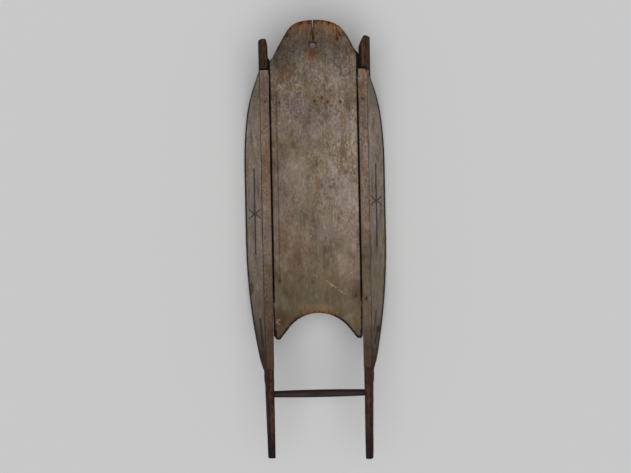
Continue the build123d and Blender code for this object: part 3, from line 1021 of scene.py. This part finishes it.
def ease_shoulder(mesh, sign):
    """Run the outer face of a plank out into its horn without a step, as a drawknife leaves it."""
    points = points_of(mesh)
    y = places(points)
    outer = np.clip(1.8 * sign * normals_of(mesh)[:, 0], 0, 1)
    ahead = ramp(SHOULDER_PLACE - y, 30, 0) * (y < SHOULDER_PLACE)
    points[:, 0] += sign * SHOULDER_STEP * ahead * outer
    soft = relaxed(mesh, points, 30)
    near = ramp(np.abs(y - SHOULDER_PLACE), 22.4, 8.4) * outer
    points += (soft - points) * near[:, None]
    set_points(mesh, points)


def fill_tip_shade(mesh, solid, sign):
    """Swell the inner wall of a rear tip low down towards the deck, as a fill that is painted dark for the
    shadow there.
    """
    points = points_of(mesh)
    wall = np.clip(-3 * sign * normals_of(mesh)[:, 0] - 1.2, 0, 1)
    along = along_sled(points, *TIP_SHADE_FILL_RUN)
    below = ramp(SEAT_Z - TIP_SHADE_FILL_TOP - points[:, 2], 0, 4 * MM)
    points[:, 0] -= sign * TIP_SHADE_FILL * wall * along * below
    set_points(mesh, points, solid)


def mark_plank(mesh, side, sign):
    """Mark where a plank is worn, handled, soaked, dirty and yellowed, where shade is painted on its inner
    walls and tips, and how bright it is, with painted shade towards its front.
    """
    rim = keep_edges(mesh, 6) / MM
    points = points_of(mesh)
    depth = slope_depth(points, sign)
    foot = foot_distance(points, sign)
    horn = along_sled(points, (-352, -300, -235), (1.0, 0.55, 0.0))
    tip = along_sled(points, (424, 436), (0.0, 1.0))
    ends = np.maximum(horn, tip)
    inward = np.clip(-sign * normals_of(mesh)[:, 0], 0, 1)
    rubs = [ends, 0.25 * ramp(foot, 26 * MM, 0), patched(points, PLANK_RUBS[side]), 0.75 * inward]
    # The left tip is orange-brown beside an inner bevel painted black for the shadow that the deck casts on
    # it
    bevel_shadow = tip * ramp(sign * points[:, 0], BEVEL_X + 1 * MM, BEVEL_X - 1 * MM) * (sign > 0)
    # Dirt on the top and foot of the outer face, round the ends' rims and in smears; painted shade on the
    # tips' inner walls and the left tip's bevel, painted shadow at the step below the rail's end, and
    # painted shade on the inner face under the deck
    dirt_and_shade = [
        0.85 * ramp(depth, 10.5 * MM, 3.5 * MM) * (1 - ends),
        0.85 * ramp(foot, 20.8 * MM, 7.8 * MM) * (1 - ends),
        0.5 * ends * ramp(rim, 6, 1),
        1.1 * tip * inward,
        1.1 * bevel_shadow,
        0.9 * ramp(np.abs(places(points) - TIP_PLACE), 5.6, 1.6),
        streaked(points, PLANK_SMEARS[side]),
        0.3 * inward,
    ]
    brightness_and_shade = along_sled(points, PLANK_STATIONS, PLANK_TONES_AND_SHADE[side])
    mottling = 1 + 0.14 * wander(points, (26, 80, 26), 4.0) + 0.1 * wander(points, (9, 16, 9), 16.0)
    mark(
        mesh,
        bare=np.maximum.reduce(rubs),
        handled=np.maximum(horn, 0.5 * tip * (sign < 0)),
        soaked=along_sled(points, (-330, -250, -130), (0.6, 0.15, 0.05)),
        grime=np.maximum.reduce(dirt_and_shade),
        aged=along_sled(points, *PLANK_AGES[side]),
        tone=brightness_and_shade * mottling * (1 + patched(points, PLANK_LIGHTS[side])),
    )


class SLED_OT_runner_planks(bpy.types.Operator):
    """Make both plank runners, with their painted lines, grimy feet, dark tips and handled horns"""

    bl_idname = "sled.runner_planks"
    bl_label = "Runner planks"

    def execute(self, context):
        sizes = context.scene.sled_sizes
        for side, cross in CROSSES.items():
            solid = "runner_" + side
            mesh = even_copy(solid, sizes.board_mesh)
            ease_shoulder(mesh, cross.sign)
            wear(mesh, solid, rounds=6, hollowing=sizes.hollowing, shift=23.0 + cross.sign)
            fill_tip_shade(mesh, solid, cross.sign)
            mark_plank(mesh, side, cross.sign)
            paint = painted_wood("worn_milk_paint_on_" + side + "_plank", -0.04, cross)
            finished(mesh, "runner_plank_" + side, solid, paint)
        return {"FINISHED"}


# Rails

RAIL_RUBS = {
    "left": (
        (126, 180, 8, 60, 0.2),
        (126, 20, 8, 60, 0.15),
        (124, 370, 9, 26, 0.45),
        (126, 420, 12, 14, 0.6),
        (124, -155, 7, 9, 0.5),
    ),
    "right": ((-124, 185, 14, 80, 0.42), (-124, 390, 14, 40, 0.3), (-124, -110, 12, 70, 0.3)),
}
# How much brown shows through at the front of each rail, and how that fades towards the rear
RAIL_FRONTS = {"left": 0.55, "right": 1.0}
RAIL_FADE = ((-332, -290, -210, -100), (0.7, 0.55, 0.45, 0.15))
# How bright each rail is at places along it, darker towards the front partly as painted shade and partly as
# dirtier paint, and how far its paint has yellowed
RAIL_STATIONS = (-332, -270, -210, -142, -53, 48, 150, 250, 333, 384, 412, 433)
RAIL_TONES_AND_SHADE = {
    "left": (0.27, 0.33, 0.62, 0.59, 0.63, 0.8, 0.84, 1.0, 0.68, 0.84, 1.0, 1.0),
    "right": (0.34, 0.31, 0.42, 0.5, 0.64, 0.82, 0.88, 0.9, 0.64, 0.66, 0.64, 0.85),
}
RAIL_AGES = {
    "left": ((-332, -250, -150, -20, 60), (0.5, 0.4, 0.45, 0.5, 0.0)),
    "right": ((-332, -100, 20), (0.15, 0.15, 0.0)),
}


class SLED_OT_rails(bpy.types.Operator):
    """Make both rails, rubbed where a rider's legs and hands lie"""

    bl_idname = "sled.rails"
    bl_label = "Rails"

    def execute(self, context):
        sizes = context.scene.sled_sizes
        for side, cross in CROSSES.items():
            solid = "rail_" + side
            mesh = even_copy(solid, sizes.strip_mesh)
            wear(mesh, solid, rounds=5, hollowing=0.6 * sizes.hollowing, shift=41.0 + cross.sign)
            keep_edges(mesh, 6)
            points = points_of(mesh)
            front = RAIL_FRONTS[side] * along_sled(points, *RAIL_FADE)
            rubbed = np.maximum(front, patched(points, RAIL_RUBS[side]))
            # Painted shade on the rail's walls low down beside the joints, and rust round the nails
            wall = np.clip(np.abs(normals_of(mesh)[:, 0]) - 0.4, 0, 1)
            low = ramp(RAIL_HIGH.z - points[:, 2], 3 * MM, 8 * MM)
            brightness_and_shade = along_sled(points, RAIL_STATIONS, RAIL_TONES_AND_SHADE[side])
            mark(
                mesh,
                soaked=rubbed,
                bare=0.3 * rubbed,
                grime=np.maximum(1.4 * wall * low, nail_stain(points, RAIL_NAILS)),
                aged=along_sled(points, *RAIL_AGES[side]),
                tone=brightness_and_shade * (1 + 0.14 * wander(points, (20, 70, 20), 6.0)),
            )
            paint = painted_wood("worn_milk_paint_on_" + side + "_rail", bareness=-0.04)
            finished(mesh, "rail_strip_" + side, solid, paint)
        return {"FINISHED"}


# A dark fill, drawn as packed dirt, that paints the shadow between the deck and the rear tips

Clod = namedtuple("Clod", "x y z half_x half_y half_z")
SHADOW_CLODS = (Clod(-113.8, 443, 120, 5.0, 19, 8), Clod(114.0, 447, 120, 4.4, 28, 8))


class SLED_OT_shadow_fill(bpy.types.Operator):
    """Set a dark fill, drawn as packed dirt, that paints the shadow between the deck and the rear tips"""

    bl_idname = "sled.packed_dirt"
    bl_label = "Shadow fill"

    def execute(self, context):
        shape = bmesh.new()
        for clod in SHADOW_CLODS:
            size = Vector((clod.half_x, clod.half_y, clod.half_z)) * MM
            middle = Vector((clod.x * MM, MARK_Y + clod.y * MM, clod.z * MM))
            for vert in bmesh.ops.create_icosphere(shape, subdivisions=4, radius=1.0)["verts"]:
                rough = 1 + 0.22 * noise.noise(vert.co * 2.2 + Vector((clod.y, 0, 0)))
                vert.co = middle + vert.co * size * rough
        bmesh.ops.recalc_face_normals(shape, faces=shape.faces)
        mesh = drawn(shape, "packed_dirt")
        mesh.materials.append(packed_dirt("shadow_fill_black"))
        mesh.shade_smooth()
        dirt_and_shade = placed(mesh, "packed_dirt")
        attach(dirt_and_shade, BODY)
        return {"FINISHED"}


# Crossbars and rung


class SLED_OT_crossbars(bpy.types.Operator):
    """Make both crossbars under the deck"""

    bl_idname = "sled.crossbars"
    bl_label = "Crossbars"

    def execute(self, context):
        sizes = context.scene.sled_sizes
        timber = bare_wood("aged_ash_crossbar", colour("#75604b"), colour("#3e2f24"), roughness=0.72)
        for place, shift in (("rear", 61.0), ("front", 67.0)):
            solid = "crossbar_" + place
            mesh = even_copy(solid, sizes.strip_mesh)
            wear(mesh, solid, rounds=5, hollowing=0.5 * sizes.hollowing, shift=shift)
            points = points_of(mesh)
            ends = ramp(np.abs(points[:, 0]), 100 * MM, 120 * MM)
            mark(mesh, grime=0.5 * ends, tone=0.9 + 0.15 * wander(points, (60, 20, 20), 8.0))
            finished(mesh, solid + "_bar", solid, timber)
        return {"FINISHED"}


class SLED_OT_rung(bpy.types.Operator):
    """Make the turned rung between the horns"""

    bl_idname = "sled.rung"
    bl_label = "Rung"

    def execute(self, context):
        sizes = context.scene.sled_sizes
        colours = context.scene.sled_colours
        mesh = even_copy("rung", sizes.rung_mesh)
        wear(mesh, "rung", rounds=3, hollowing=0.4 * sizes.hollowing, shift=71.0)
        points = points_of(mesh)
        ends = ramp(np.abs(points[:, 0]), 88 * MM, 112 * MM)
        mark(mesh, grime=0.75 * ends, tone=0.9 + 0.35 * wander(points, (50, 9, 9), 9.0))
        timber = bare_wood("hand_darkened_maple_rung", colours.rung, colours.rung_dark, roughness=0.62)
        finished(mesh, "turned_rung", "rung", timber)
        return {"FINISHED"}


# Iron shoes

# Where the strap starts to thin towards its front and rear end, over what length, and by what share
SHOE_FRONT = -306.0
SHOE_REAR = 386.0
SHOE_TAPER = 26.0
SHOE_THINNING = 0.8


def feather_shoe(mesh, plank):
    """Thin both ends of a shoe down to the plank, as a smith draws them out."""
    points = points_of(mesh)
    y = places(points)
    thinned = ramp(np.maximum(SHOE_FRONT - y, y - SHOE_REAR), 0, SHOE_TAPER)
    near_end = np.flatnonzero(thinned > 0)
    surface = solid_surface(plank)
    foot = np.array([surface.find_nearest(point)[0] for point in points[near_end].tolist()])
    points[near_end] += SHOE_THINNING * thinned[near_end, None] * (foot - points[near_end])
    set_points(mesh, points)


class SLED_OT_shoes(bpy.types.Operator):
    """Make the iron shoes under both runners"""

    bl_idname = "sled.shoes"
    bl_label = "Shoes"

    def execute(self, context):
        sizes = context.scene.sled_sizes
        iron = rusted_iron("rusted_wrought_iron_shoe", "#5c3a26", "#8a8580", rubbed=0.75)
        for side in CROSSES:
            solid = "shoe_" + side
            mesh = even_copy(solid, sizes.strip_mesh)
            feather_shoe(mesh, "runner_" + side)
            wear(mesh, solid, rounds=2, hollowing=0.25 * sizes.hollowing, shift=83.0)
            keep_edges(mesh, 5)
            finished(mesh, "iron_shoe_" + side, solid, iron)
        return {"FINISHED"}


# Nails and screws, as Geometry Nodes

CUBE = "GeometryNodeMeshCube"
JOINED = "ShaderNodeCombineXYZ"
RANDOM = "FunctionNodeRandomValue"
HEAD_INPUTS = (
    ("Points", "NodeSocketGeometry"),
    ("Head", "NodeSocketFloat"),
    ("Height", "NodeSocketFloat"),
    ("Seed", "NodeSocketInt"),
    ("Material", "NodeSocketMaterial"),
)


def head_tree(name):
    """A node tree with points, sizes, a seed and a material going in, and heads to come out."""
    tree = bpy.data.node_groups.new(name, "GeometryNodeTree")
    for label, kind in HEAD_INPUTS:
        tree.interface.new_socket(label, in_out="INPUT", socket_type=kind)
    tree.interface.new_socket("Heads", in_out="OUTPUT", socket_type="NodeSocketGeometry")
    add = partial(node, tree)
    return tree, add, add("NodeGroupInput").node.outputs


def set_heads(add, given, head, turn):
    """Set the head on every point, as plain mesh in the given material."""
    placing = {"Points": given["Points"], "Instance": head, "Rotation": turn}
    heads = add("GeometryNodeInstanceOnPoints", placing)
    plain = add("GeometryNodeRealizeInstances", {"Geometry": heads})
    dressed = add("GeometryNodeSetMaterial", {"Geometry": plain, "Material": given["Material"]})
    add("NodeGroupOutput", {"Heads": dressed})


def nail_tree():
    """Heads of cut nails: hammered oblongs, each turned and tilted a little differently."""
    tree, add, given = head_tree("nail_heads")
    short = add(MATH, (given["Head"], 0.72), operation="MULTIPLY")
    size = add(JOINED, (given["Head"], short, given["Height"]))
    block = add(CUBE, {"Size": size, "Vertices X": 4, "Vertices Y": 4, "Vertices Z": 2})
    rounded = add("GeometryNodeSubdivisionSurface", {"Mesh": block, "Level": 1})
    swings = {0: (-0.1, -0.1, -1.6), 1: (0.1, 0.1, 1.6), "Seed": given["Seed"]}
    turn = add(RANDOM, swings, data_type="FLOAT_VECTOR")
    set_heads(add, given, rounded, turn)
    return tree


def screw_tree():
    """Heads of slotted screws, sunk in the shoe, with slots at all angles."""
    tree, add, given = head_tree("screw_heads")
    radius, slot_width, slot_length = (
        add(MATH, (given["Head"], share), operation="MULTIPLY") for share in (0.5, 0.15, 1.2)
    )
    disc = add("GeometryNodeMeshCylinder", {"Vertices": 24, "Radius": radius, "Depth": given["Height"]})
    slot_size = add(JOINED, (slot_length, slot_width, given["Height"]))
    block = add(CUBE, {"Size": slot_size})
    lift = add(MATH, (given["Height"], 0.6), operation="MULTIPLY")
    lift_by = add(JOINED, {2: lift})
    slot = add("GeometryNodeTransform", {"Geometry": block, "Translation": lift_by})
    cut = add("GeometryNodeMeshBoolean", {"Mesh 1": disc, "Mesh 2": slot}, operation="DIFFERENCE")
    outward = add("GeometryNodeInputNamedAttribute", {"Name": "outward"}, data_type="FLOAT_VECTOR")
    upright = add("FunctionNodeAlignRotationToVector", {"Vector": outward}, axis="Z")
    swings = {0: (0.0, 0.0, 0.0), 1: (0.0, 0.0, 3.1), "Seed": given["Seed"]}
    turn = add(RANDOM, swings, data_type="FLOAT_VECTOR")
    spin = add("FunctionNodeEulerToRotation", {"Euler": turn})
    spun = {"Rotation": upright, "Rotate By": spin}
    turned = add("FunctionNodeRotateRotation", spun, rotation_space="LOCAL")
    set_heads(add, given, cut, turned)
    return tree


def fastened(name, points, outward, tree, values):
    """Make the piece of all the heads that the tree sets on the points."""
    mesh = bpy.data.meshes.new(name + "_points")
    mesh.from_pydata(points, [], [])
    layer = mesh.attributes.new("outward", "FLOAT_VECTOR", "POINT")
    layer.data.foreach_set("vector", np.asarray(outward, dtype=np.float32).ravel())
    holder = placed(mesh, name + "_points")
    modifier = holder.modifiers.new("Heads", "NODES")
    modifier.node_group = tree
    for item in tree.interface.items_tree:
        if item.name in values:
            modifier[item.identifier] = values[item.name]
    heads = baked(holder, name)
    if not heads.polygons:
        raise RuntimeError("no heads were made for " + name)
    piece = placed(heads, name)
    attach(piece, BODY)


NAIL_HEIGHT = 1.6 * MM
NAIL_SUNK = 0.25 * MM


class SLED_OT_nails(bpy.types.Operator):
    """Drive the cut nails in the deck and rails"""

    bl_idname = "sled.nails"
    bl_label = "Nails"

    def execute(self, context):
        head = context.scene.sled_sizes.nail_head
        points = [
            (x * MM, MARK_Y + y * MM, top - NAIL_SUNK - NAIL_HEIGHT / 2)
            for nails, top in ((DECK_NAILS, DECK_HIGH.z), (RAIL_NAILS, RAIL_HIGH.z))
            for x, y in nails
        ]
        iron = rusted_iron("rusted_iron_nail", "#4a2c1c", "#6c6560", rubbed=0.35)
        values = {"Head": head, "Height": NAIL_HEIGHT, "Seed": 5, "Material": iron}
        fastened("cut_nails", points, [(0, 0, 1)] * len(points), nail_tree(), values)
        return {"FINISHED"}


SCREW_PLACES = (-262, -160, -50, 60, 170, 275, 372)
SCREW_HEIGHT = 1.2 * MM
# The share of a screw's head that its middle is sunk by, and how far below a plank its place is looked for
SCREW_SUNK = 0.3
SCREW_REACH = 0.3


class SLED_OT_shoe_screws(bpy.types.Operator):
    """Set the slotted screws in the iron shoes"""

    bl_idname = "sled.shoe_screws"
    bl_label = "Shoe screws"

    def execute(self, context):
        head = context.scene.sled_sizes.screw_head
        points = []
        outward = []
        for side, cross in CROSSES.items():
            shoe = solid_surface("shoe_" + side)
            down = down_plank(cross.sign)
            inset = out_of_plank(cross.sign) * (PLANK_THICKNESS / 2)
            for place in SCREW_PLACES:
                top = Vector((cross.sign * FACE_X, MARK_Y + place * MM, SEAT_Z)) - inset
                spot, normal, _, _ = shoe.ray_cast(top + down * SCREW_REACH, -down)
                if spot is None:
                    raise RuntimeError("a shoe screw misses its shoe")
                points.append(spot - normal * (SCREW_SUNK * SCREW_HEIGHT))
                outward.append(normal)
        iron = rusted_iron("rusted_iron_screw", "#4f3020", "#8d8883", rubbed=0.6)
        values = {"Head": head, "Height": SCREW_HEIGHT, "Seed": 3, "Material": iron}
        fastened("shoe_screws", points, outward, screw_tree(), values)
        return {"FINISHED"}


# Floor, light and camera

FLOOR_RADIUS = 9.0
FLOOR_DROP = 0.2 * MM

# The picture is taken from straight above, a very little from the rider's right, and turned a little
CAMERA_TARGET = Vector((-2.5 * MM, MARK_Y + 4.5 * MM, RAIL_HIGH.z))
CAMERA_DISTANCE = 3.2
CAMERA_PAN = math.radians(-0.52)
CAMERA_TILT = math.radians(-0.02)
CAMERA_ROLL = math.radians(-1.136)
CAMERA_LENS = 71.72
CAMERA_SENSOR = 36.0

# The lamp gives most of the light and the room the rest, so that a level colour renders about as written
ROOM_LIGHT = 0.3
LAMP_LIGHT = 2.3
LAMP_ANGLE = math.radians(72)
LAMP_FROM = Vector((0.0, -0.28, 1.0))


class SLED_OT_stage(bpy.types.Operator):
    """Lay the floor and set the light and the camera"""

    bl_idname = "sled.stage"
    bl_label = "Floor, light and camera"

    def execute(self, context):
        scene = context.scene
        pale = opaque(scene.sled_colours.floor)
        shape = bmesh.new()
        bmesh.ops.create_circle(shape, cap_ends=True, segments=96, radius=FLOOR_RADIUS)
        mesh = drawn(shape, "floor")
        mesh.transform(Matrix.Translation((0, 0, -FLOOR_DROP)))
        paper, add = blank_material("matt_backdrop_paper")
        matt = add("ShaderNodeBsdfDiffuse", {"Color": pale})
        add(OUTPUT, {"Surface": matt})
        mesh.materials.append(paper)
        placed(mesh, "floor")

        # The room lights the sled evenly, and shows as the pale backdrop
        world = bpy.data.worlds.new("even_room_light")
        world.use_nodes = True
        world.node_tree.nodes.clear()
        add = partial(node, world.node_tree)
        path = add("ShaderNodeLightPath").node.outputs
        seen = add(MATH, (path["Is Camera Ray"], path["Is Glossy Ray"]), operation="ADD")
        shown = add(MATH, (seen, path["Is Transmission Ray"]), operation="ADD", use_clamp=True)
        room = add("ShaderNodeBackground", {"Color": (1.0, 1.0, 1.0, 1.0), "Strength": ROOM_LIGHT})
        backdrop = add("ShaderNodeBackground", {"Color": pale, "Strength": 1.0})
        both = add("ShaderNodeMixShader", (shown, room, backdrop))
        add("ShaderNodeOutputWorld", {"Surface": both})
        scene.world = world

        # A wide soft lamp almost overhead, a little in front of the sled
        lamp = bpy.data.lights.new("soft_lamp", "SUN")
        lamp.energy = LAMP_LIGHT
        lamp.angle = LAMP_ANGLE
        light = bpy.data.objects.new("soft_lamp", lamp)
        light.rotation_euler = LAMP_FROM.to_track_quat("Z", "Y").to_euler()
        scene.collection.objects.link(light)

        lens = bpy.data.cameras.new("camera")
        lens.sensor_width = CAMERA_SENSOR
        lens.lens = CAMERA_LENS
        camera = bpy.data.objects.new("camera", lens)
        tilt = Matrix.Rotation(CAMERA_TILT, 3, "X")
        pan = Matrix.Rotation(CAMERA_PAN, 3, "Y")
        roll = Matrix.Rotation(CAMERA_ROLL, 3, "Z")
        aim = tilt @ pan @ roll
        camera.location = CAMERA_TARGET + aim @ Vector((0, 0, CAMERA_DISTANCE))
        camera.rotation_euler = aim.to_euler()
        scene.collection.objects.link(camera)
        scene.camera = camera
        scene.view_settings.view_transform = "Standard"
        return {"FINISHED"}


OPERATORS = (
    SLED_OT_deck_board,
    SLED_OT_runner_planks,
    SLED_OT_rails,
    SLED_OT_shadow_fill,
    SLED_OT_crossbars,
    SLED_OT_rung,
    SLED_OT_shoes,
    SLED_OT_nails,
    SLED_OT_shoe_screws,
    SLED_OT_stage,
)


class SLED_PT_panel(bpy.types.Panel):
    """Sizes, colours and pieces of the sled"""

    bl_idname = "SLED_PT_panel"
    bl_label = "Coasting sled"
    bl_space_type = "VIEW_3D"
    bl_region_type = "UI"
    bl_category = "Sled"

    def draw(self, context):
        layout = self.layout
        for group in (context.scene.sled_sizes, context.scene.sled_colours):
            column = layout.column()
            for name in group.bl_rna.properties.keys():
                if name not in ("rna_type", "name"):
                    column.prop(group, name)
        for operator in OPERATORS:
            layout.operator(operator.bl_idname)


CLASSES = (SledSizes, SledColours, *OPERATORS, SLED_PT_panel)


def register():
    """Register the classes and hang the sizes and colours on the scene."""
    for cls in CLASSES:
        bpy.utils.register_class(cls)
    bpy.types.Scene.sled_sizes = bpy.props.PointerProperty(type=SledSizes)
    bpy.types.Scene.sled_colours = bpy.props.PointerProperty(type=SledColours)


def unregister():
    """Take the sizes, colours and classes away again."""
    del bpy.types.Scene.sled_colours
    del bpy.types.Scene.sled_sizes
    for cls in reversed(CLASSES):
        bpy.utils.unregister_class(cls)


def main():
    register()
    bpy.ops.sled.deck_board()
    bpy.ops.sled.runner_planks()
    bpy.ops.sled.rails()
    bpy.ops.sled.packed_dirt()
    bpy.ops.sled.crossbars()
    bpy.ops.sled.rung()
    bpy.ops.sled.shoes()
    bpy.ops.sled.nails()
    bpy.ops.sled.shoe_screws()
    bpy.ops.sled.stage()


if __name__ == "__main__":
    main()
